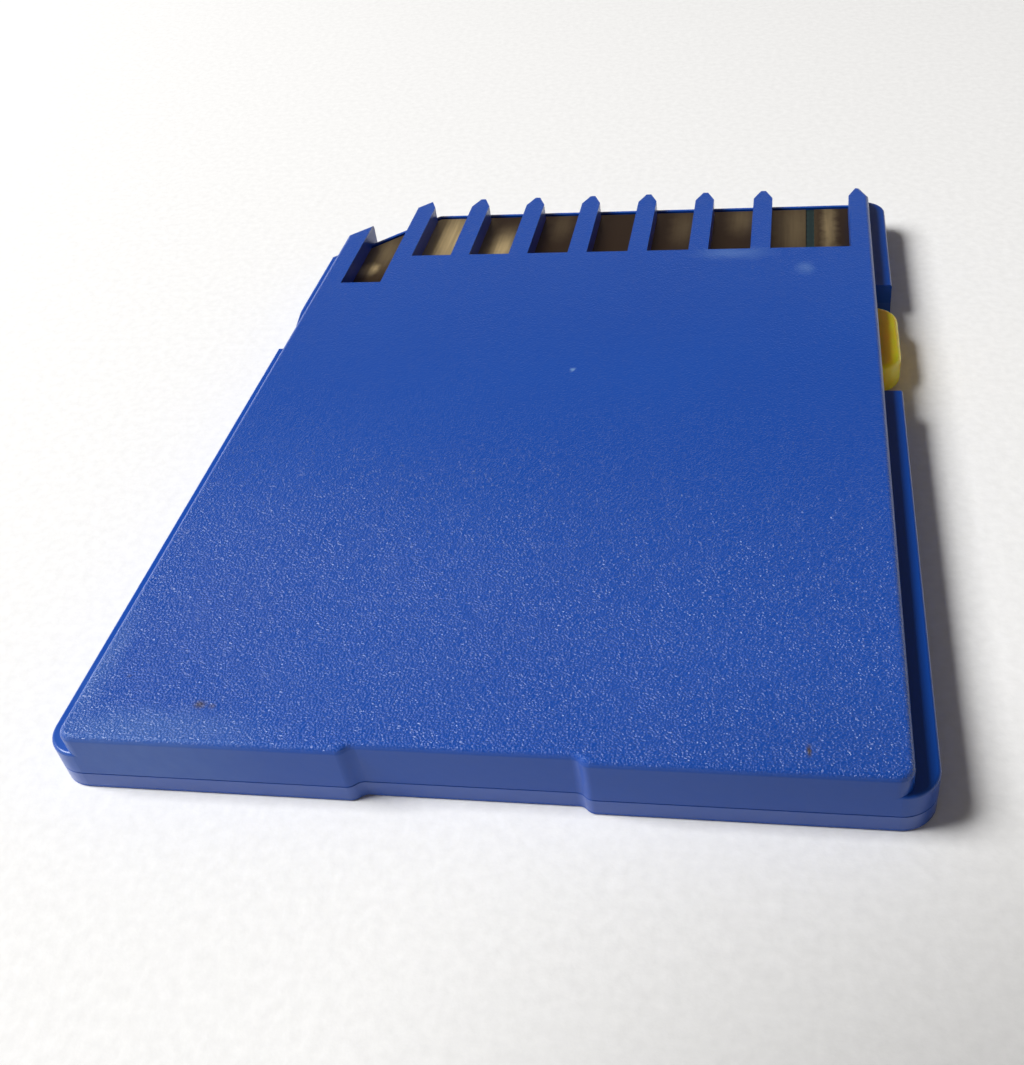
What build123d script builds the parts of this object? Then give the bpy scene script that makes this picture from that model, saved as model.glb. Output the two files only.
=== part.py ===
from build123d import *
from math import sqrt
import os

# Full-size flash memory card, lying label side down with its contacts up.
# X runs across the card towards the lock slider, Y towards the contact end, Z up.
# The origin is the middle of the label face. All sizes are millimetres.

# Outline of the card
card_length = 32.0
card_width = 24.0
card_thickness = 2.1
corner_radius = 1.0
corner_cut = 4.0

# Low guide rails along both sides, and the raised platform between them
rail_width = 0.7
rail_height = 1.4
rail_rim_round = 0.1
platform_corner_radius = 0.45
platform_edge_round = 0.18

# Walls of the two covers and the welded seam between them
seam_height = 0.6
seam_chamfer = 0.02
side_wall = 1.0
front_wall = 0.5
floor_thickness = 0.4
label_rim_round = 0.06
label_margin = 1.6
label_recess = 0.1
label_corner_radius = 0.5

# Weld tongue of the front cover, in a groove of the back cover
tongue_inset = 0.35
tongue_width = 0.3
tongue_height = 0.2
tongue_clearance = 0.05
tongue_break = 0.5

# Thumb dip in the rear edge, with an S bend at each end
dip_flat = 5.7
dip_bend = 0.5
dip_depth = 0.22

# Notch in the left rail, measured from the contact end: a square step at its rear, a ramp at its front
notch_from_front = 8.3
notch_length = 3.25
notch_ramp = 2.3
notch_depth = 0.33

# Contact windows: one for each contact, but the last two contacts share a wide one
window_count = 8
window_length = 5.4
corner_window_length = 3.6
contact_depth = 0.7
rib_width = 0.8
left_end_wall = 0.92
right_end_wall = 0.84
pair_pitch = 1.5
rib_tip_length = 0.9
rib_tip_taper = 0.38
lead_in = 0.2
sill_slope = 0.35

# Contact pads, plated on the board
pad_thickness = 0.05
pad_overlap = 0.15
pad_pair_gap = 0.35
pad_edge = 0.08

# Circuit board
board_thickness = 0.4
board_clearance = 0.1

# Lock slot in the right rail, measured from the contact end
slot_from_front = 7.3
slot_length = 7.3

# Lock slider: a thumb nub outside and a longer shoe that runs on a guide rib inside
slider_rest_gap = 1.4
slider_clearance = 0.05
nub_length = 4.3
nub_stand_out = 0.1
nub_bottom = 0.1
nub_top = 1.3
nub_corner_radius = 1.0
nub_edge_round = 0.2
shoe_length = 5.2
shoe_width = 0.95
guide_rib_width = 0.3
guide_rib_height = 0.3
channel_wall = 0.25
bay_margin = 0.1

# Posts and rib of the front cover that hold the board up
post_diameter = 1.0
post_columns = 2
post_rows = 3
support_rib_width = 0.6

# Flash memory chip with gull-wing leads at both ends
flash_length = 15.4
flash_width = 12.0
flash_from_board_edge = 1.0
flash_edge_chamfer = 0.08
chip_gap = 0.05
lead_count = 24
lead_pitch = 0.48
lead_width = 0.2
lead_thickness = 0.1
lead_neck = 0.15
lead_slope = 0.12
lead_foot = 0.5

# Controller chip, left of the middle, and the small parts on its right
controller_size = 6.5
controller_height = 0.45
controller_left = 3.4
controller_corner_cut = 0.4
capacitor_count = 4
resistor_count = 5
chip_part_length = 1.0
chip_part_width = 0.5
capacitor_height = 0.45
resistor_height = 0.35
chip_part_end = 0.25
chip_part_end_step = 0.02
chip_part_pitch = 1.1
capacitor_column = 3.0
resistor_column = 5.4

# Places that follow from the sizes above
half_width = card_width / 2
half_length = card_length / 2
platform_width = card_width - 2 * rail_width
platform_half = platform_width / 2
contact_plane = card_thickness - contact_depth
board_top = contact_plane - pad_thickness
board_underside = board_top - board_thickness
inner_wall = half_width - side_wall
notch_front = half_length - notch_from_front
notch_rear = notch_front - notch_length
notch_y = (notch_front + notch_rear) / 2
slot_front = half_length - slot_from_front
slot_y = slot_front - slot_length / 2
window_back = half_length - window_length
nub_y = slot_front - slider_rest_gap - nub_length / 2
shoe_overhang = (shoe_length - nub_length) / 2
shoe_outer = inner_wall - slider_clearance
nub_inner = inner_wall + slider_clearance
nub_outer = half_width + nub_stand_out
shoe_inner = shoe_outer - shoe_width
guide_rib_x = (shoe_inner + shoe_outer) / 2
channel_x = shoe_inner - slider_clearance - channel_wall
bay_length = slot_length + 2 * (shoe_overhang + bay_margin)
board_inset = side_wall + board_clearance
board_front_inset = front_wall + board_clearance
board_rear = -half_length + board_inset
flash_y = board_rear + flash_from_board_edge + flash_width / 2
flash_front = flash_y + flash_width / 2
flash_half_span = flash_length / 2 + lead_neck + lead_slope + lead_foot
flash_bottom = floor_thickness + chip_gap
flash_top = board_underside - chip_gap
parts_y = (flash_front + window_back) / 2
post_x = (flash_half_span + half_width - board_inset) / 2

# Widths of the windows: the row fills the platform between its two end walls
ribs_between = window_count - 1
window_row = platform_width - left_end_wall - right_end_wall - ribs_between * rib_width
window_width = (window_row - pair_pitch) / window_count
wide_window_width = window_width + pair_pitch
first_window_left = -platform_half + left_end_wall
window_pitch = window_width + rib_width
window_lefts = [first_window_left + window_pitch * step for step in range(window_count)]
wide_left = window_lefts[-1]
wide_right = wide_left + wide_window_width

os.makedirs("parts", exist_ok=True)


def inset_plan(side_inset, front_inset):
    """Plan of the card moved in from its sides and rear, and from its front and cut corner."""
    with BuildSketch() as plan:
        with Locations((0, (side_inset - front_inset) / 2)):
            Rectangle(card_width - 2 * side_inset, card_length - side_inset - front_inset)
        cut_corner = plan.vertices().sort_by_distance((-half_width, half_length))[0]
        chamfer(cut_corner, corner_cut - side_inset - front_inset + front_inset * sqrt(2))
        if side_inset < corner_radius:
            rear_corners = plan.vertices().group_by(Axis.Y)[0]
            front_corner = plan.vertices().sort_by_distance((half_width, half_length))[0]
            fillet(rear_corners + [front_corner], corner_radius - side_inset)
    return plan.sketch


def weld_ring(clearance):
    """Tongue line round the sides and the rear, broken at the thumb dip, the notch and the slot."""
    break_length = 2 * (tongue_break - clearance)
    front_end = half_length - corner_cut - tongue_break + clearance
    with BuildSketch() as ring:
        add(inset_plan(tongue_inset - clearance, front_wall))
        inner_inset = tongue_inset + tongue_width + clearance
        add(inset_plan(inner_inset, front_wall), mode=Mode.SUBTRACT)
        with Locations((-half_width, notch_y)):
            Rectangle(2 * side_wall, notch_length + break_length, mode=Mode.SUBTRACT)
        with Locations((half_width, slot_y)):
            Rectangle(2 * side_wall, slot_length + break_length, mode=Mode.SUBTRACT)
        with Locations((0, -half_length)):
            Rectangle(dip_flat + 2 * dip_bend + break_length, 2 * side_wall, mode=Mode.SUBTRACT)
        with Locations((0, front_end)):
            Rectangle(card_width, card_length, align=(Align.CENTER, Align.MIN), mode=Mode.SUBTRACT)
    return ring.sketch


# Outer plan of both covers, with the thumb dip in the rear edge
with BuildSketch() as card_plan:
    add(inset_plan(0, 0))
    with BuildLine():
        dip_end = (-dip_flat / 2 - dip_bend, -half_length)
        bend_middle = (-dip_flat / 2 - dip_bend / 2, -half_length + dip_depth / 2)
        dip_start = (-dip_flat / 2, -half_length + dip_depth)
        outer_bend = TangentArc(dip_end, bend_middle, tangent=(1, 0))
        TangentArc(bend_middle, dip_start, tangent=outer_bend % 1)
        Line(dip_start, (0, -half_length + dip_depth))
        Line(dip_end, (0, -half_length))
        mirror(about=Plane.YZ)
    make_face(mode=Mode.SUBTRACT)

# Plan of the raised platform, flush with the card's rear, front and cut corner, narrowed at its front right
with BuildSketch() as platform_plan:
    Rectangle(platform_width, card_length)
    fillet(platform_plan.vertices().group_by(Axis.Y)[0], platform_corner_radius)
    with BuildLine():
        Polyline(
            (platform_half, half_length - rib_tip_length),
            (platform_half, half_length),
            (platform_half - rib_tip_taper, half_length),
            close=True,
        )
    make_face(mode=Mode.SUBTRACT)
    add(card_plan.sketch, mode=Mode.INTERSECT)

# Notch and lock slot, both cut through the full height of the rails
with BuildSketch() as rail_cuts:
    with BuildLine():
        Polyline(
            (-half_width - notch_depth, notch_rear),
            (-half_width + notch_depth, notch_rear),
            (-half_width + notch_depth, notch_front - notch_ramp),
            (-half_width - notch_depth, notch_front + notch_ramp),
            close=True,
        )
    make_face()
    with Locations((half_width, slot_y)):
        Rectangle(2 * side_wall, slot_length)

# Contact windows, open at the front, flared there so that the ribs end in narrow tips
with BuildSketch(Plane.XY.offset(contact_plane)) as window_cuts:
    flare_start = half_length - rib_tip_length
    flare_end = half_length + rib_tip_length
    for left in window_lefts[1:]:
        right = wide_right if left == wide_left else left + window_width
        with BuildLine():
            Polyline(
                (left, window_back),
                (right, window_back),
                (right, flare_start),
                (right + 2 * rib_tip_taper, flare_end),
                (left - 2 * rib_tip_taper, flare_end),
                (left, flare_start),
                close=True,
            )
        make_face()
    corner_window_back = half_length - corner_cut - corner_window_length
    with Locations((first_window_left, corner_window_back)):
        Rectangle(window_width, card_length, align=(Align.MIN, Align.MIN))

# Front cover: the label side, a shallow tray with the weld tongue on its rim
with BuildPart() as front_cover:
    with BuildSketch():
        add(card_plan.sketch)
    extrude(amount=seam_height)
    fillet(front_cover.faces().sort_by(Axis.Z)[0].edges(), label_rim_round)
    chamfer(front_cover.faces().sort_by(Axis.Z)[-1].edges(), seam_chamfer)
    with BuildSketch(Plane.XY.offset(floor_thickness)):
        add(inset_plan(side_wall, front_wall))
    extrude(amount=card_thickness, mode=Mode.SUBTRACT)
    with BuildSketch() as label_plan:
        add(inset_plan(label_margin, label_margin))
        fillet(label_plan.vertices(), label_corner_radius)
    extrude(amount=label_recess, mode=Mode.SUBTRACT)
    with BuildSketch(Plane.XY.offset(seam_height)):
        add(weld_ring(0))
    extrude(amount=tongue_height)
    with BuildSketch():
        add(rail_cuts.sketch)
    extrude(amount=card_thickness, mode=Mode.SUBTRACT)
    with BuildSketch(Plane.XY.offset(floor_thickness)):
        with Locations((channel_x, slot_y)):
            Rectangle(channel_wall, bay_length, align=(Align.MIN, Align.CENTER))
    extrude(amount=contact_plane - slider_clearance - floor_thickness)
    with BuildSketch(Plane.XY.offset(floor_thickness)):
        with Locations((guide_rib_x, slot_y)):
            Rectangle(guide_rib_width, bay_length)
    extrude(amount=guide_rib_height)
    with BuildSketch(Plane.XY.offset(floor_thickness)):
        with Locations((0, flash_y)):
            with GridLocations(2 * post_x, (flash_width + post_diameter) / 2, post_columns, post_rows):
                Circle(post_diameter / 2)
        with Locations((0, half_length - window_length / 2)):
            Rectangle(2 * (half_width - corner_cut), support_rib_width)
    extrude(amount=board_underside - floor_thickness)
front_cover.part.label = "front_cover"
export_step(front_cover.part, "parts/front_cover.step")

# Back cover: the contact side, with rails, platform, ribbed windows and the weld groove
with BuildPart() as back_cover:
    with BuildSketch(Plane.XY.offset(seam_height)):
        add(card_plan.sketch)
    extrude(amount=rail_height - seam_height)
    fillet(back_cover.faces().sort_by(Axis.Z)[-1].edges(), rail_rim_round)
    chamfer(back_cover.faces().sort_by(Axis.Z)[0].edges(), seam_chamfer)
    with BuildSketch(Plane.XY.offset(seam_height + seam_chamfer)):
        add(platform_plan.sketch)
    extrude(amount=card_thickness - seam_height - seam_chamfer)
    lead_edge = back_cover.faces().sort_by(Axis.Z)[-1].edges().sort_by(Axis.Y)[-1]
    chamfer(lead_edge, lead_in)
    top_edges = back_cover.faces().sort_by(Axis.Z)[-1].edges().sort_by(Axis.Y)[:-1]
    fillet(top_edges, platform_edge_round)
    with BuildSketch(Plane.XY.offset(seam_height)):
        add(inset_plan(side_wall, front_wall))
    extrude(amount=contact_plane - seam_height, mode=Mode.SUBTRACT)
    add(window_cuts.sketch)
    extrude(amount=card_thickness, mode=Mode.SUBTRACT)
    wall_height = (seam_height + contact_plane) / 2
    cut_corner_middle = (-half_width + corner_cut / 2, half_length - corner_cut / 2, wall_height)
    front_face = back_cover.faces().sort_by_distance((0, half_length, wall_height))[0]
    corner_face = back_cover.faces().sort_by_distance(cut_corner_middle)[0]
    wall_edges = front_face.edges() + corner_face.edges()
    sills = wall_edges.filter_by_position(Axis.Z, contact_plane - seam_chamfer, contact_plane + seam_chamfer)
    chamfer(sills, sill_slope)
    with BuildSketch():
        add(rail_cuts.sketch)
    extrude(amount=rail_height, mode=Mode.SUBTRACT)
    with BuildSketch(Plane.XY.offset(seam_height)):
        add(weld_ring(tongue_clearance))
    extrude(amount=tongue_height + tongue_clearance, mode=Mode.SUBTRACT)
back_cover.part.label = "back_cover"
export_step(back_cover.part, "parts/back_cover.step")

# Lock slider: one moulding, a nub in the slot and a shoe grooved to run on the guide rib
with BuildPart() as write_protect_slider:
    with BuildSketch(Plane.XY.offset(nub_bottom)) as nub_plan:
        with Locations((nub_inner, nub_y)):
            Rectangle(nub_outer - nub_inner, nub_length, align=(Align.MIN, Align.CENTER))
        fillet(nub_plan.vertices().group_by(Axis.X)[-1], nub_corner_radius)
    extrude(amount=nub_top - nub_bottom)
    nub_rims = write_protect_slider.faces().filter_by(Axis.Z).edges()
    fillet(nub_rims.filter_by_position(Axis.X, nub_inner + nub_edge_round, nub_outer), nub_edge_round)
    with BuildSketch(Plane.XY.offset(floor_thickness + slider_clearance)):
        with Locations((shoe_inner, nub_y)):
            Rectangle(shoe_width, shoe_length, align=(Align.MIN, Align.CENTER))
            Rectangle(nub_inner - shoe_inner, nub_length, align=(Align.MIN, Align.CENTER))
    extrude(amount=contact_plane - floor_thickness - 2 * slider_clearance)
    with BuildSketch(Plane.XY.offset(floor_thickness)):
        with Locations((guide_rib_x, nub_y)):
            Rectangle(guide_rib_width + 2 * slider_clearance, 2 * shoe_length)
    extrude(amount=guide_rib_height + slider_clearance, mode=Mode.SUBTRACT)
write_protect_slider.part.label = "write_protect_slider"
export_step(write_protect_slider.part, "parts/write_protect_slider.step")

# Circuit board, cut away beside the slider and clamped between the covers
with BuildPart() as circuit_board:
    with BuildSketch(Plane.XY.offset(board_underside)):
        add(inset_plan(board_inset, board_front_inset))
        with Locations((channel_x - board_clearance, slot_y)):
            bay_opening = bay_length + 2 * board_clearance
            Rectangle(half_width, bay_opening, align=(Align.MIN, Align.CENTER), mode=Mode.SUBTRACT)
    extrude(amount=board_thickness)
circuit_board.part.label = "circuit_board"
export_step(circuit_board.part, "parts/circuit_board.step")

# Contact pads: the one in the cut corner is the ninth, the rest count from left to right
wide_middle = (wide_left + wide_right) / 2
pad_spans = [(left, left + window_width) for left in window_lefts[:-1]]
pad_spans += [(wide_left, wide_middle - pad_pair_gap / 2 - pad_overlap)]
pad_spans += [(wide_middle + pad_pair_gap / 2 + pad_overlap, wide_right)]
for place, (left, right) in enumerate(pad_spans):
    pad_number = place if place > 0 else len(pad_spans)
    back = window_back if place > 0 else corner_window_back
    with BuildPart() as contact_pad:
        with BuildSketch(Plane.XY.offset(board_top)):
            with Locations((left - pad_overlap, back - pad_overlap)):
                pad_width = right - left + 2 * pad_overlap
                Rectangle(pad_width, window_length + corner_cut, align=(Align.MIN, Align.MIN))
            add(inset_plan(board_inset + pad_edge, board_front_inset + pad_edge), mode=Mode.INTERSECT)
        extrude(amount=pad_thickness)
    contact_pad.part.label = f"contact_pad_{pad_number}"
    export_step(contact_pad.part, f"parts/contact_pad_{pad_number}.step")

# Flash memory chip: a thin moulded package under the board
with BuildPart() as flash_memory_chip:
    with BuildSketch(Plane.XY.offset(flash_bottom)):
        with Locations((0, flash_y)):
            Rectangle(flash_length, flash_width)
    extrude(amount=flash_top - flash_bottom)
    chamfer(flash_memory_chip.faces().sort_by(Axis.Z)[0].edges(), flash_edge_chamfer)
flash_memory_chip.part.label = "flash_memory_chip"
export_step(flash_memory_chip.part, "parts/flash_memory_chip.step")

# Leads of the flash chip: bent strips from the package's middle up to the board
lead_exit = (flash_bottom + flash_top) / 2
with BuildPart() as flash_lead:
    with BuildSketch(Plane.XZ):
        with BuildLine():
            neck_end = flash_length / 2 + lead_neck
            Polyline(
                (flash_length / 2, lead_exit + lead_thickness / 2),
                (neck_end, lead_exit + lead_thickness / 2),
                (neck_end + lead_slope, board_underside),
                (flash_half_span, board_underside),
                (flash_half_span, board_underside - lead_thickness),
                (neck_end + lead_slope + lead_thickness, board_underside - lead_thickness),
                (neck_end + lead_thickness, lead_exit - lead_thickness / 2),
                (flash_length / 2, lead_exit - lead_thickness / 2),
                close=True,
            )
        make_face()
    extrude(amount=lead_width / 2, both=True)
with BuildPart() as flash_chip_leads:
    with Locations((0, flash_y)):
        with GridLocations(0, lead_pitch, 1, lead_count):
            add(flash_lead.part)
    mirror(about=Plane.YZ)
flash_chip_leads.part.label = "flash_chip_leads"
export_step(flash_chip_leads.part, "parts/flash_chip_leads.step")

# Controller chip: a square package with its first corner cut
with BuildPart() as controller_chip:
    with BuildSketch(Plane.XY.offset(board_underside - controller_height)) as controller_plan:
        with Locations((-controller_left, parts_y)):
            Rectangle(controller_size, controller_size)
        first_corner = controller_plan.vertices().group_by(Axis.Y)[-1].sort_by(Axis.X)[0]
        chamfer(first_corner, controller_corner_cut)
    extrude(amount=controller_height)
controller_chip.part.label = "controller_chip"
export_step(controller_chip.part, "parts/controller_chip.step")


def chip_part(x, y, height):
    """Small ceramic part with a plated cap round each end, soldered under the board."""
    with BuildPart() as small_part:
        with Locations((x, y, board_underside)):
            below = (Align.CENTER, Align.CENTER, Align.MAX)
            body_width = chip_part_width - 2 * chip_part_end_step
            Box(chip_part_length, body_width, height - chip_part_end_step, align=below)
            with GridLocations(chip_part_length - chip_part_end, 0, 2, 1):
                Box(chip_part_end, chip_part_width, height, align=below)
    return small_part.part


# Capacitors and resistors, each kind in a column
for column, kind, count, height in (
    (capacitor_column, "capacitor", capacitor_count, capacitor_height),
    (resistor_column, "resistor", resistor_count, resistor_height),
):
    for row in range(count):
        row_y = parts_y + (row - (count - 1) / 2) * chip_part_pitch
        small_piece = chip_part(column, row_y, height)
        small_piece.label = f"{kind}_{row + 1}"
        export_step(small_piece, f"parts/{kind}_{row + 1}.step")
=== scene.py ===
from math import cos, pi, radians, sin

import bpy
import numpy as np
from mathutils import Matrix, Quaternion, Vector


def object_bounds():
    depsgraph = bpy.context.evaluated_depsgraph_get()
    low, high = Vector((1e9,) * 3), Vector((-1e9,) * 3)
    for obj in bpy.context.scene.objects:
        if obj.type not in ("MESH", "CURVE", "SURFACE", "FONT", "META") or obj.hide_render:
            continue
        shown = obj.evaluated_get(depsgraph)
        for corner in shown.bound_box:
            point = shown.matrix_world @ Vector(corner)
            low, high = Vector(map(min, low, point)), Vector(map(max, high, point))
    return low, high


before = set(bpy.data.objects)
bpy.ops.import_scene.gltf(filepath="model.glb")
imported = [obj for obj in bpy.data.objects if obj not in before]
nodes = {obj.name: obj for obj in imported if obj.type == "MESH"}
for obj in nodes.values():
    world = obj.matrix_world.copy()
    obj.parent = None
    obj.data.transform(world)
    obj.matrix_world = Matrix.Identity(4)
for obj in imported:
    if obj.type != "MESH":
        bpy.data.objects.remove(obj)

cad_low, cad_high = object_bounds()

# Front cover: the shallow lower shell, label side down, injection moulded in blue ABS.
# Its rim carries the weld tongue that joins it to the back cover, so only a thin seam
# shows round the edge. The bare label recess is satin, and the rim round it is etched.
mm = 0.001
abs_blue = "#0C4BA9"
abs_deep_blue = "#0A45A2"
abs_index = 1.53
skin_index = 1.64
skin_tint = "#BCDDFF"
skin_roughness = 0.3
pigment_specular = 0.1
wall_roughness = 0.32
etched_roughness = 0.36
etched_gloss = 0.68
etch_grain = 0.056 * mm
etch_depth = 0.075 * mm
pigment_relief = 0.014 * mm
grain_whole_y = -14.5 * mm
grain_worn_y = 3.0 * mm
grain_left = 0.25
wall_ripple = 0.5 * mm
ripple_height = 0.05 * mm
ripple_strength = 0.12
flow_patch = 7.0 * mm
dirt_brown = "#4A3E34"
dirt_ragged = 0.06
# Pale blue of scuffs, and of painted sheen where the platform's near edges catch the window
# light.
scuff_and_sheen_blue = "#8AB0DA"
scuff_and_sheen_ragged = 0.3
label_wall_gloss = 0.85
label_etched_height = 0.02 * mm
label_smooth_height = 0.12 * mm


def srgb(code):
    """Linear colour of an sRGB hex value: a straight line for dark channels, else a power."""
    parts = np.array([int(code[i:i + 2], 16) for i in (1, 3, 5)]) / 255.0
    linear = np.where(parts <= 0.04045, parts / 12.92, ((parts + 0.055) / 1.055) ** 2.4)
    return (*linear.tolist(), 1.0)


def add_node(tree, kind, settings, inputs):
    """Adds one node: settings are its own properties, and each input is linked or set."""
    made = tree.nodes.new(kind)
    for name, value in settings.items():
        setattr(made, name, value)
    for socket, value in inputs.items():
        if isinstance(value, bpy.types.NodeSocket):
            tree.links.new(value, made.inputs[socket])
        else:
            made.inputs[socket].default_value = value
    return made


def new_material(name):
    """An empty node material, with its tree, its output and the object's coordinates."""
    material = bpy.data.materials.new(name)
    material.use_nodes = True
    tree = material.node_tree
    tree.nodes.clear()
    output = add_node(tree, "ShaderNodeOutputMaterial", {}, {})
    place = add_node(tree, "ShaderNodeTexCoord", {}, {}).outputs["Object"]
    return material, tree, output, place


def any_mark(tree, place, ragged, marks):
    """Mask of a list of marks: the strongest one at each point.

    A mark is an upright ellipse in plan, (x, y, half width, half length) in mm and a strength.
    It fades from its middle to nothing at its rim, and noise moves the rim by up to ragged mm.
    """
    noise = add_node(tree, "ShaderNodeTexNoise", {},
                     {"Vector": place, "Scale": 1 / (2 * ragged * mm),
                      "Detail": 2.0}).outputs["Color"]
    shift = add_node(tree, "ShaderNodeMapping", {},
                     {"Vector": noise, "Location": (-ragged * mm, -ragged * mm, 0.0),
                      "Scale": (2 * ragged * mm, 2 * ragged * mm, 0.0)}).outputs[0]
    moved = add_node(tree, "ShaderNodeVectorMath", {"operation": "ADD"},
                     {0: place, 1: shift}).outputs["Vector"]
    strongest = 0.0
    for x, y, half_width, half_length, strength in marks:
        outward = add_node(tree, "ShaderNodeMapping", {"vector_type": "TEXTURE"},
                           {"Vector": moved, "Location": (x * mm, y * mm, 0.0),
                            "Scale": (half_width * mm, half_length * mm, 1.0)}).outputs[0]
        distance = add_node(tree, "ShaderNodeVectorMath", {"operation": "LENGTH"},
                            {0: outward}).outputs["Value"]
        mask = add_node(tree, "ShaderNodeMapRange", {"interpolation_type": "SMOOTHSTEP"},
                        {"Value": distance, "To Min": strength, "To Max": 0.0}).outputs[0]
        strongest = add_node(tree, "ShaderNodeMath", {"operation": "MAXIMUM"},
                             {0: mask, 1: strongest}).outputs[0]
    return strongest


def moulded_abs(name, smooth_height, etched_height, wall_gloss, dirt_marks, scuff_and_sheen_marks):
    """Blue ABS from a steel mould: satin walls, and a spark-eroded face from one height on.

    The etched face is a field of rounded grains. Its clear skin follows them steeply, so it
    breaks the window light into small glints. The pigment under the skin scatters light
    sideways, so it shows only a soft relief. The walls just have the faint ripple that a
    ground mould leaves, and mirror the cool daylight a little. Slow noise as wide as a flow
    patch shifts the blue, as pigment does in a thin moulding. Sockets have rubbed the grain
    low towards the contact end. Dirt marks are brown and dull. The pale marks are partly
    scuffs and partly painted sheen: pale blue painted where the platform's edges catch light.
    """
    material, tree, output, place = new_material(name)
    place_parts = add_node(tree, "ShaderNodeSeparateXYZ", {}, {0: place}).outputs
    along, height = place_parts["Y"], place_parts["Z"]
    etched = add_node(tree, "ShaderNodeMapRange", {"interpolation_type": "SMOOTHSTEP"},
                      {"Value": height, "From Min": smooth_height,
                       "From Max": etched_height}).outputs[0]
    flow = add_node(tree, "ShaderNodeTexNoise", {},
                    {"Vector": place, "Scale": 1 / flow_patch, "Detail": 2.0}).outputs["Fac"]
    colour = add_node(tree, "ShaderNodeMix", {"data_type": "RGBA"},
                      {0: flow, 6: srgb(abs_blue), 7: srgb(abs_deep_blue)}).outputs[2]
    # Pale scuffs, and painted sheen along the platform's near and left edges.
    colour = add_node(tree, "ShaderNodeMix", {"data_type": "RGBA"},
                      {0: any_mark(tree, place, scuff_and_sheen_ragged, scuff_and_sheen_marks), 6: colour,
                       7: srgb(scuff_and_sheen_blue)}).outputs[2]
    colour = add_node(tree, "ShaderNodeMix", {"data_type": "RGBA"},
                      {0: any_mark(tree, place, dirt_ragged, dirt_marks), 6: colour,
                       7: srgb(dirt_brown)}).outputs[2]
    grain = add_node(tree, "ShaderNodeTexNoise", {},
                     {"Vector": place, "Scale": 1 / etch_grain,
                      "Detail": 0.0}).outputs["Fac"]
    ripple = add_node(tree, "ShaderNodeTexNoise", {},
                      {"Vector": place, "Scale": 1 / wall_ripple, "Detail": 2.0}).outputs["Fac"]
    whole = add_node(tree, "ShaderNodeMapRange", {"interpolation_type": "SMOOTHSTEP"},
                     {"Value": along, "From Min": grain_whole_y, "From Max": grain_worn_y,
                      "To Min": 1.0, "To Max": grain_left}).outputs[0]
    sharp = add_node(tree, "ShaderNodeMath", {"operation": "MULTIPLY"},
                     {0: etched, 1: whole}).outputs[0]
    relief = add_node(tree, "ShaderNodeMath", {"operation": "MULTIPLY"},
                      {0: grain, 1: sharp}).outputs[0]
    wall_bump = add_node(tree, "ShaderNodeBump", {},
                         {"Strength": ripple_strength, "Distance": ripple_height,
                          "Height": ripple}).outputs[0]
    pigment_bump = add_node(tree, "ShaderNodeBump", {},
                            {"Strength": 1.0, "Distance": pigment_relief, "Height": relief,
                             "Normal": wall_bump}).outputs[0]
    skin_bump = add_node(tree, "ShaderNodeBump", {},
                         {"Strength": 1.0, "Distance": etch_depth, "Height": relief,
                          "Normal": wall_bump}).outputs[0]
    roughness = add_node(tree, "ShaderNodeMapRange", {},
                         {"Value": etched, "To Min": wall_roughness,
                          "To Max": etched_roughness}).outputs[0]
    gloss = add_node(tree, "ShaderNodeMapRange", {},
                     {"Value": etched, "To Min": wall_gloss, "To Max": etched_gloss}).outputs[0]
    shader = add_node(tree, "ShaderNodeBsdfPrincipled", {},
                      {"Base Color": colour, "Roughness": roughness, "IOR": abs_index,
                       "Specular IOR Level": pigment_specular,
                       "Specular Tint": srgb(skin_tint), "Normal": pigment_bump,
                       "Coat Weight": gloss, "Coat Roughness": skin_roughness,
                       "Coat IOR": skin_index, "Coat Normal": skin_bump}).outputs[0]
    tree.links.new(shader, output.inputs["Surface"])
    return material


def dress(name, material):
    """Gives one of the card's solids its only material."""
    nodes[name].data.materials.clear()
    nodes[name].data.materials.append(material)


dress("front_cover", moulded_abs("moulded_blue_abs_label_side", label_smooth_height,
                                 label_etched_height, label_wall_gloss, [], []))

# Back cover: the contact side, one moulding with the raised platform, the ribs between the
# contact windows and the two guide rails. The same blue ABS, with a sparkling spark-eroded
# face on the platform and satin walls, welded to the front cover along the seam.
platform_height = cad_high.z
etch_fade = 0.12 * mm
etch_margin = 0.03 * mm
platform_wall_gloss = 0.45
platform_dirt = [
    (8.75, -15.27, 0.10, 0.30, 1.0),
    (-7.58, -14.62, 0.30, 0.22, 0.8),
    (-7.20, -14.66, 0.20, 0.14, 0.5),
    (-10.05, -13.70, 0.10, 0.10, 0.5),
]
platform_scuffs_and_sheen = [
    (0.38, 1.74, 0.16, 0.22, 0.6),
    (5.75, 10.25, 2.20, 0.75, 0.2),
    (8.58, 8.94, 0.60, 0.75, 0.2),
    # These two marks are painted sheen with a little wear: pale blue laid along the rear and left
    # edges, where the rounded etched edge catches the window light.
    (-9.00, -15.60, 5.00, 1.20, 0.14),
    (-11.20, -13.50, 0.90, 4.00, 0.12),
]

dress("back_cover", moulded_abs("moulded_blue_abs_contact_side", platform_height - etch_fade,
                                platform_height - etch_margin, platform_wall_gloss,
                                platform_dirt, platform_scuffs_and_sheen))

# Lock slider: a small yellow moulding caught between the covers, which slides in the slot of
# the right rail. Acetal, slightly waxy.
acetal_yellow = "#FFE028"
acetal_amber = "#FAC01C"
acetal_patch = 1.5 * mm
acetal_wave = 0.03 * mm
acetal_wave_strength = 0.15
acetal_roughness = 0.38
acetal_index = 1.48
acetal_glow = 1.4 * mm
acetal_glow_spread = (1.0, 0.5, 0.08)


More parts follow.
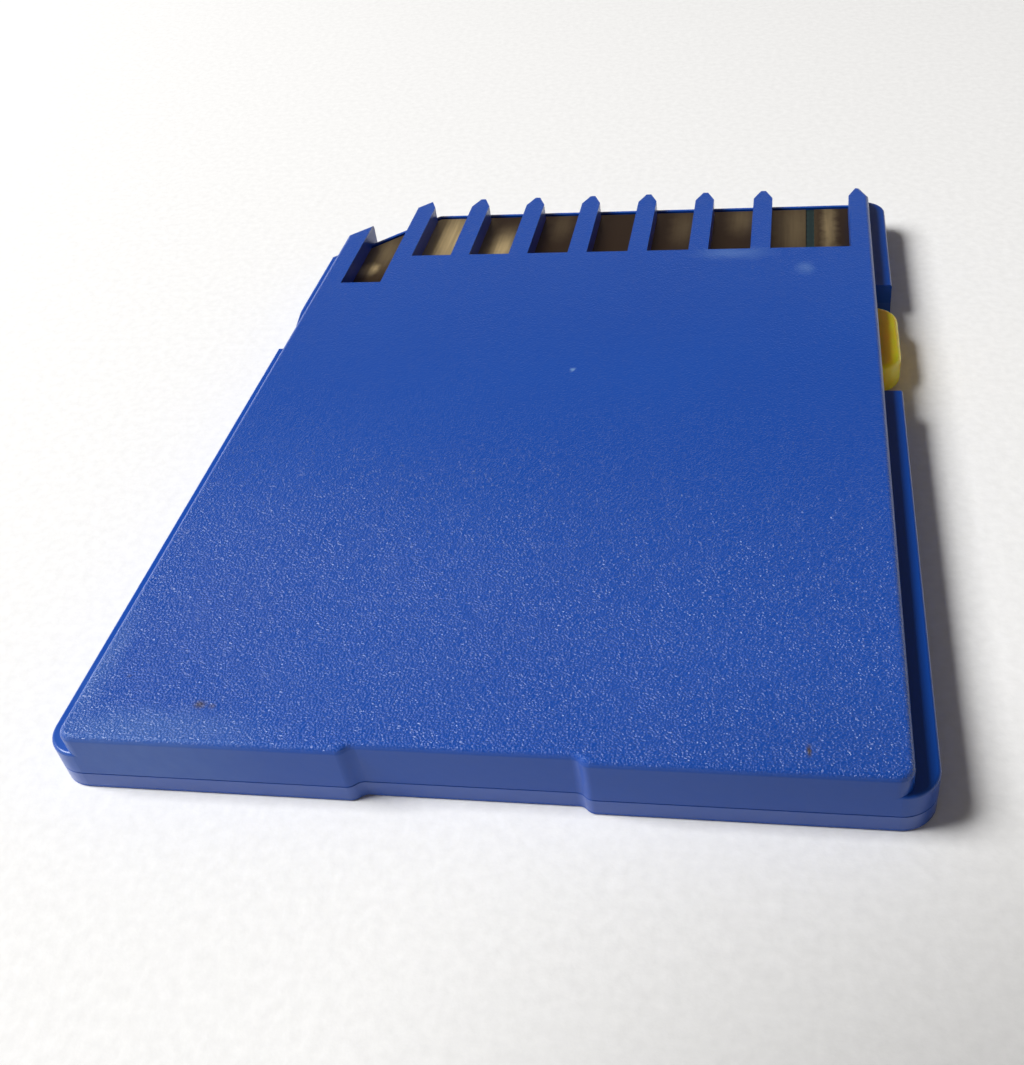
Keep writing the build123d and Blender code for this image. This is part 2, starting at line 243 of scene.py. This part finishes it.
def moulded_acetal():
    """Yellow acetal: waxy and translucent, so light spreads inside it and its shade is amber."""
    material, tree, output, place = new_material("moulded_yellow_acetal")
    cloud = add_node(tree, "ShaderNodeTexNoise", {},
                     {"Vector": place, "Scale": 1 / acetal_patch, "Detail": 2.0}).outputs["Fac"]
    colour = add_node(tree, "ShaderNodeMix", {"data_type": "RGBA"},
                      {0: cloud, 6: srgb(acetal_yellow), 7: srgb(acetal_amber)}).outputs[2]
    bump = add_node(tree, "ShaderNodeBump", {},
                    {"Strength": acetal_wave_strength, "Distance": acetal_wave,
                     "Height": cloud}).outputs[0]
    shader = add_node(tree, "ShaderNodeBsdfPrincipled", {},
                      {"Base Color": colour, "Roughness": acetal_roughness, "IOR": acetal_index,
                       "Subsurface Weight": 1.0, "Subsurface Radius": acetal_glow_spread,
                       "Subsurface Scale": acetal_glow, "Normal": bump}).outputs[0]
    tree.links.new(shader, output.inputs["Surface"])
    return material


dress("write_protect_slider", moulded_acetal())

# Circuit board: glass fibre laminate under dark solder mask, clamped between the covers.
# It carries the contact pads on top and the chips below.
mask_dark_green = "#14282A"
mask_green = "#1F3C3A"
mask_roughness = 0.3
mask_index = 1.52
glass_weave = 0.5 * mm
weave_height = 0.02 * mm
weave_strength = 0.2


def solder_masked_laminate():
    """Dark green solder mask over woven glass: a glossy lacquer, with the weave just visible."""
    material, tree, output, place = new_material("solder_masked_glass_laminate")
    across = add_node(tree, "ShaderNodeTexWave", {"bands_direction": "X"},
                      {"Vector": place, "Scale": 1 / glass_weave / pi}).outputs["Fac"]
    along = add_node(tree, "ShaderNodeTexWave", {"bands_direction": "Y"},
                     {"Vector": place, "Scale": 1 / glass_weave / pi}).outputs["Fac"]
    weave = add_node(tree, "ShaderNodeMath", {"operation": "MULTIPLY"},
                     {0: across, 1: along}).outputs[0]
    colour = add_node(tree, "ShaderNodeMix", {"data_type": "RGBA"},
                      {0: weave, 6: srgb(mask_dark_green), 7: srgb(mask_green)}).outputs[2]
    bump = add_node(tree, "ShaderNodeBump", {},
                    {"Strength": weave_strength, "Distance": weave_height,
                     "Height": weave}).outputs[0]
    shader = add_node(tree, "ShaderNodeBsdfPrincipled", {},
                      {"Base Color": colour, "Roughness": mask_roughness, "IOR": mask_index,
                       "Normal": bump}).outputs[0]
    tree.links.new(shader, output.inputs["Surface"])
    return material


dress("circuit_board", solder_masked_laminate())

# Contact pads: nine fields of copper, plated with nickel and thin gold, on the board's front.
# The gold has tarnished brown, and the socket's springs have rubbed it bright in places. The pale
# gold of the rubbed patches is partly painted highlight, where the pads catch the window light.
gold_tarnish = "#6E5540"
# Pale gold of the rubbed patches, which is partly painted highlight.
rubbed_gold_and_sheen = "#F0D8A4"
wipe_width = 0.12 * mm
wipe_length = 3.0 * mm
wipe_height = 0.01 * mm
wipe_strength = 0.3
wipe_weakest = 0.75
wear_and_sheen_ragged = 0.2
tarnish_roughness = 0.34
rubbed_roughness = 0.64
pad_count = 9
# Rubbed patches, (x, y, half width, half length) in mm and a strength: partly wear and partly
# painted highlight of the window on the pads. The corner pad's second patch is painted brighter
# to light it through the shade of its window wall.
pad_wear_and_sheen = [
    (-9.92, 10.85, 0.80, 1.10, 1.0),
    (-9.60, 12.20, 1.80, 3.20, 0.45),
    (-6.90, 13.20, 2.40, 5.50, 1.0),
    (-4.35, 12.30, 1.40, 2.90, 1.0),
    (-2.00, 14.40, 0.80, 2.20, 0.25),
    (3.45, 14.00, 0.90, 2.60, 0.3),
    (5.95, 14.60, 1.00, 2.20, 0.4),
    (8.20, 13.60, 1.50, 5.00, 0.45),
    (9.62, 13.50, 0.55, 6.00, 0.7),
]


def worn_gold_with_sheen():
    """Gold plating rubbed by springs: fine streaks along the card over brown tarnish.

    Tarnished plating is smooth and mirrors the dark room. A rubbed patch is scratched, so it
    is rougher and takes the window light, which shows the gold's own colour. Its pale gold is
    also partly painted highlight, brighter than rubbed gold alone, for the window's reflection.
    """
    material, tree, output, place = new_material("worn_gold_plating_and_sheen")
    stretched = add_node(tree, "ShaderNodeMapping", {},
                         {"Vector": place,
                          "Scale": (1 / wipe_width, 1 / wipe_length, 1 / wipe_width)}).outputs[0]
    streak = add_node(tree, "ShaderNodeTexNoise", {},
                      {"Vector": stretched, "Scale": 1.0, "Detail": 3.0}).outputs["Fac"]
    strength = add_node(tree, "ShaderNodeMapRange", {},
                        {"Value": streak, "From Min": 0.3, "From Max": 0.7,
                         "To Min": wipe_weakest, "To Max": 1.0}).outputs[0]
    wear_and_sheen = add_node(tree, "ShaderNodeMath", {"operation": "MULTIPLY"},
                    {0: any_mark(tree, place, wear_and_sheen_ragged, pad_wear_and_sheen), 1: strength}).outputs[0]
    colour = add_node(tree, "ShaderNodeMix", {"data_type": "RGBA"},
                      {0: wear_and_sheen, 6: srgb(gold_tarnish), 7: srgb(rubbed_gold_and_sheen)}).outputs[2]
    roughness = add_node(tree, "ShaderNodeMapRange", {},
                         {"Value": wear_and_sheen, "To Min": tarnish_roughness,
                          "To Max": rubbed_roughness}).outputs[0]
    bump = add_node(tree, "ShaderNodeBump", {},
                    {"Strength": wipe_strength, "Distance": wipe_height,
                     "Height": streak}).outputs[0]
    shader = add_node(tree, "ShaderNodeBsdfPrincipled", {},
                      {"Base Color": colour, "Metallic": 1.0, "Roughness": roughness,
                       "Normal": bump}).outputs[0]
    tree.links.new(shader, output.inputs["Surface"])
    return material


pad_gold = worn_gold_with_sheen()
for number in range(1, pad_count + 1):
    dress(f"contact_pad_{number}", pad_gold)

# Chips: the flash memory and the controller on the board's underside. Each is a silicon die
# on a carrier, moulded into a flat block of black epoxy and held by its solder joints.
epoxy_black = "#1B1C1E"
epoxy_grey = "#2A2B2D"
epoxy_roughness = 0.6
epoxy_index = 1.55
epoxy_filler = 0.08 * mm
filler_height = 0.01 * mm
filler_strength = 0.4


def moulded_epoxy():
    """Black epoxy with silica filler: matt, with the fine grey grain of a blasted mould."""
    material, tree, output, place = new_material("moulded_black_epoxy")
    grain = add_node(tree, "ShaderNodeTexNoise", {},
                     {"Vector": place, "Scale": 1 / epoxy_filler, "Detail": 2.0}).outputs["Fac"]
    colour = add_node(tree, "ShaderNodeMix", {"data_type": "RGBA"},
                      {0: grain, 6: srgb(epoxy_black), 7: srgb(epoxy_grey)}).outputs[2]
    bump = add_node(tree, "ShaderNodeBump", {},
                    {"Strength": filler_strength, "Distance": filler_height,
                     "Height": grain}).outputs[0]
    shader = add_node(tree, "ShaderNodeBsdfPrincipled", {},
                      {"Base Color": colour, "Roughness": epoxy_roughness, "IOR": epoxy_index,
                       "Normal": bump}).outputs[0]
    tree.links.new(shader, output.inputs["Surface"])
    return material


chip_epoxy = moulded_epoxy()
for name in ("flash_memory_chip", "controller_chip"):
    dress(name, chip_epoxy)

# Leads of the flash chip: two rows of thin copper alloy strips, stamped from one sheet and
# tinned. Each is bent up from the chip's side to the board and soldered there.
tin_grey = "#B9BABB"
tin_dull = "#8F9092"
tin_crystal = 0.15 * mm
tin_smooth = 0.35
tin_rough = 0.55


def tinned_copper():
    """Matt tin plating: pale grey metal, with the cloudy crystals of an electroplated surface."""
    material, tree, output, place = new_material("matt_tin_plating")
    crystal = add_node(tree, "ShaderNodeTexNoise", {},
                       {"Vector": place, "Scale": 1 / tin_crystal, "Detail": 3.0}).outputs["Fac"]
    colour = add_node(tree, "ShaderNodeMix", {"data_type": "RGBA"},
                      {0: crystal, 6: srgb(tin_grey), 7: srgb(tin_dull)}).outputs[2]
    roughness = add_node(tree, "ShaderNodeMapRange", {},
                         {"Value": crystal, "To Min": tin_smooth,
                          "To Max": tin_rough}).outputs[0]
    shader = add_node(tree, "ShaderNodeBsdfPrincipled", {},
                      {"Base Color": colour, "Metallic": 1.0, "Roughness": roughness}).outputs[0]
    tree.links.new(shader, output.inputs["Surface"])
    return material


dress("flash_chip_leads", tinned_copper())

# Capacitors and resistors: small ceramic parts, soldered under the board in two columns.
# Each has a tinned cap round both ends, which the metal part of the material draws.
capacitor_tan = "#9A7A58"
resistor_black = "#2A2A2C"
capacitor_count = 4
resistor_count = 5
ceramic_grain = 0.1 * mm
ceramic_smooth = 0.45
ceramic_rough = 0.6
cap_length = 0.25 * mm


def fired_ceramic(name, body_colour, middle, half_length):
    """Fired ceramic with tinned ends: a dull grained body, and metal beyond the body's length."""
    material, tree, output, place = new_material(name)
    grain = add_node(tree, "ShaderNodeTexNoise", {},
                     {"Vector": place, "Scale": 1 / ceramic_grain, "Detail": 2.0}).outputs["Fac"]
    along = add_node(tree, "ShaderNodeSeparateXYZ", {}, {0: place}).outputs["X"]
    end = add_node(tree, "ShaderNodeMath", {"operation": "COMPARE"},
                   {0: along, 1: middle, 2: half_length - cap_length}).outputs[0]
    tin = add_node(tree, "ShaderNodeMath", {"operation": "SUBTRACT"}, {0: 1.0, 1: end}).outputs[0]
    colour = add_node(tree, "ShaderNodeMix", {"data_type": "RGBA"},
                      {0: tin, 6: srgb(body_colour), 7: srgb(tin_grey)}).outputs[2]
    roughness = add_node(tree, "ShaderNodeMapRange", {},
                         {"Value": grain, "To Min": ceramic_smooth,
                          "To Max": ceramic_rough}).outputs[0]
    shader = add_node(tree, "ShaderNodeBsdfPrincipled", {},
                      {"Base Color": colour, "Metallic": tin, "Roughness": roughness}).outputs[0]
    tree.links.new(shader, output.inputs["Surface"])
    return material


for kind, count, body_colour in (("capacitor", capacitor_count, capacitor_tan),
                                 ("resistor", resistor_count, resistor_black)):
    reach = np.array([corner[0] for corner in nodes[f"{kind}_1"].bound_box])
    middle = (reach.max() + reach.min()) / 2
    half_length = (reach.max() - reach.min()) / 2
    ceramic = fired_ceramic(f"fired_{kind}_ceramic", body_colour, middle, half_length)
    for number in range(1, count + 1):
        dress(f"{kind}_{number}", ceramic)

# Floor: a plain white table top of coated board, far wider than the card, not part of it.
# Away from the card it fades to white for the eye, as over a studio's white sweep.
floor_white = "#F9F9F8"
floor_grey = "#E9E9E8"
sweep_white = "#FFFFFF"
floor_half = 1.5
floor_roughness = 0.8
floor_specular = 0.2
floor_fibre = 0.35 * mm
fibre_height = 0.03 * mm
fibre_strength = 0.4
fade_start = 55.0 * mm
fade_end = 170.0 * mm


def shows_background(tree):
    """Mask of the rays that show the background: seen straight on, mirrored or through glass."""
    ray = add_node(tree, "ShaderNodeLightPath", {}, {}).outputs
    mirrored = add_node(tree, "ShaderNodeMath", {"operation": "MAXIMUM"},
                        {0: ray["Is Camera Ray"], 1: ray["Is Glossy Ray"]}).outputs[0]
    return add_node(tree, "ShaderNodeMath", {"operation": "MAXIMUM"},
                    {0: mirrored, 1: ray["Is Transmission Ray"]}).outputs[0]


def coated_board():
    """White coated board: flat and matt, with the faint mottle of paper fibre under the coat."""
    material, tree, output, place = new_material("coated_white_board")
    mottle = add_node(tree, "ShaderNodeTexNoise", {},
                      {"Vector": place, "Scale": 1 / floor_fibre, "Detail": 3.0}).outputs["Fac"]
    colour = add_node(tree, "ShaderNodeMix", {"data_type": "RGBA"},
                      {0: mottle, 6: srgb(floor_white), 7: srgb(floor_grey)}).outputs[2]
    bump = add_node(tree, "ShaderNodeBump", {},
                    {"Strength": fibre_strength, "Distance": fibre_height,
                     "Height": mottle}).outputs[0]
    shader = add_node(tree, "ShaderNodeBsdfPrincipled", {},
                      {"Base Color": colour, "Roughness": floor_roughness,
                       "Specular IOR Level": floor_specular, "Normal": bump}).outputs[0]
    distance = add_node(tree, "ShaderNodeVectorMath", {"operation": "LENGTH"},
                        {0: place}).outputs["Value"]
    far = add_node(tree, "ShaderNodeMapRange", {"interpolation_type": "SMOOTHSTEP"},
                   {"Value": distance, "From Min": fade_start, "From Max": fade_end}).outputs[0]
    fade = add_node(tree, "ShaderNodeMath", {"operation": "MULTIPLY"},
                    {0: far, 1: shows_background(tree)}).outputs[0]
    sweep = add_node(tree, "ShaderNodeEmission", {}, {"Color": srgb(sweep_white)}).outputs[0]
    blend = add_node(tree, "ShaderNodeMixShader", {}, {0: fade, 1: shader, 2: sweep}).outputs[0]
    tree.links.new(blend, output.inputs["Surface"])
    return material


corner_x, corner_y = np.meshgrid([-floor_half, floor_half], [-floor_half, floor_half])
floor_points = np.stack([corner_x.ravel(), corner_y.ravel(), np.full(4, cad_low.z)], axis=1)
floor_mesh = bpy.data.meshes.new("table_top")
floor_mesh.from_pydata(floor_points.tolist(), [], [(0, 1, 3, 2)])
floor_mesh.materials.append(coated_board())
table_top = bpy.data.objects.new("table_top", floor_mesh)
bpy.context.scene.collection.objects.link(table_top)

# Light: a window to the left of the card, high up and a little to the camera's side, in a
# dim room. Near the horizon the eye sees the room as white, so that the table fades into it.
window_distance = 0.45
window_elevation = radians(48)
window_turn = radians(8)
window_width = 0.19
window_power = 2.7
room_level = 0.12
room_white = "#FFF4EC"
sweep_top = sin(radians(8))
room_start = sin(radians(12))

window_direction = Vector((
    -cos(window_elevation) * cos(window_turn),
    -cos(window_elevation) * sin(window_turn),
    sin(window_elevation),
))
window_lamp = bpy.data.lights.new("window_light", "AREA")
window_lamp.shape = "SQUARE"
window_lamp.size = window_width
window_lamp.energy = window_power
window_light = bpy.data.objects.new("window_light", window_lamp)
window_light.location = window_direction * window_distance
window_light.rotation_mode = "QUATERNION"
window_light.rotation_quaternion = (-window_direction).to_track_quat("-Z", "Y")
bpy.context.scene.collection.objects.link(window_light)

room = bpy.data.worlds.new("dim_room")
bpy.context.scene.world = room
room.use_nodes = True
room.node_tree.nodes.clear()
direction = add_node(room.node_tree, "ShaderNodeTexCoord", {}, {}).outputs["Generated"]
rise = add_node(room.node_tree, "ShaderNodeSeparateXYZ", {}, {0: direction}).outputs["Z"]
low = add_node(room.node_tree, "ShaderNodeMapRange", {"interpolation_type": "SMOOTHSTEP"},
               {"Value": rise, "From Min": sweep_top, "From Max": room_start,
                "To Min": 1.0, "To Max": 0.0}).outputs[0]
sweep = add_node(room.node_tree, "ShaderNodeMath", {"operation": "MULTIPLY"},
                 {0: low, 1: shows_background(room.node_tree)}).outputs[0]
seen_level = add_node(room.node_tree, "ShaderNodeMapRange", {},
                      {"Value": sweep, "To Min": room_level, "To Max": 1.0}).outputs[0]
seen_colour = add_node(room.node_tree, "ShaderNodeMix", {"data_type": "RGBA"},
                       {0: sweep, 6: srgb(room_white), 7: srgb(sweep_white)}).outputs[2]
background = add_node(room.node_tree, "ShaderNodeBackground", {},
                      {"Color": seen_colour, "Strength": seen_level}).outputs[0]
add_node(room.node_tree, "ShaderNodeOutputWorld", {}, {"Surface": background})

# Flag: a small black velvet disc on an arm, out of the picture and not part of the card. It
# holds back some of the window's light from the table at the card's near right corner.
flag_shadow = Vector((19.0, -26.0, 0.0)) * mm
flag_distance = 47.0 * mm
flag_radius = 8.6 * mm
flag_corners = 48
flag_black = "#0B0B0C"
flag_grey = "#151516"
flag_roughness = 0.8
flag_nap = 0.4 * mm


def black_velvet():
    """Black velvet: matt, with the nap's fine speckle, so it throws no light on the card."""
    material, tree, output, place = new_material("matt_black_velvet")
    speckle = add_node(tree, "ShaderNodeTexNoise", {},
                       {"Vector": place, "Scale": 1 / flag_nap, "Detail": 2.0}).outputs["Fac"]
    colour = add_node(tree, "ShaderNodeMix", {"data_type": "RGBA"},
                      {0: speckle, 6: srgb(flag_black), 7: srgb(flag_grey)}).outputs[2]
    shader = add_node(tree, "ShaderNodeBsdfPrincipled", {},
                      {"Base Color": colour, "Roughness": flag_roughness}).outputs[0]
    tree.links.new(shader, output.inputs["Surface"])
    return material


flag_turn = window_light.rotation_quaternion
flag_angle = np.linspace(0.0, 2 * pi, flag_corners, endpoint=False)
flag_points = np.outer(np.cos(flag_angle), flag_turn @ Vector((1, 0, 0)))
flag_points = flag_points + np.outer(np.sin(flag_angle), flag_turn @ Vector((0, 1, 0)))
flag_points = flag_points * flag_radius + np.array(flag_shadow + window_direction * flag_distance)
flag_mesh = bpy.data.meshes.new("window_flag")
flag_mesh.from_pydata(flag_points.tolist(), [], [tuple(range(flag_corners))])
flag_mesh.materials.append(black_velvet())
window_flag = bpy.data.objects.new("window_flag", flag_mesh)
window_flag.visible_camera = False
bpy.context.scene.collection.objects.link(window_flag)

# Camera: a compact camera held close above the rear edge and looking along the card. It is
# turned a little, and its frame is moved a little sideways, as in the photo.
camera_place = Vector((8.157, -35.051, 26.257)) * mm
camera_aim = Vector((1.902, -7.207, 2.1)) * mm
camera_roll = radians(7.292)
camera_lens = 41.479
camera_sensor = 36.0
frame_shift = -0.06385
nearest_seen = 1.0 * mm
farthest_seen = 10.0

camera_data = bpy.data.cameras.new("close_up_camera")
camera_data.sensor_width = camera_sensor
camera_data.lens = camera_lens
camera_data.shift_x = frame_shift
camera_data.clip_start = nearest_seen
camera_data.clip_end = farthest_seen
camera = bpy.data.objects.new("close_up_camera", camera_data)
camera.location = camera_place
camera.rotation_mode = "QUATERNION"
look = (camera_aim - camera_place).to_track_quat("-Z", "Y")
camera.rotation_quaternion = look @ Quaternion((0, 0, 1), -camera_roll)
bpy.context.scene.collection.objects.link(camera)
bpy.context.scene.camera = camera
bpy.context.scene.view_settings.view_transform = "Standard"
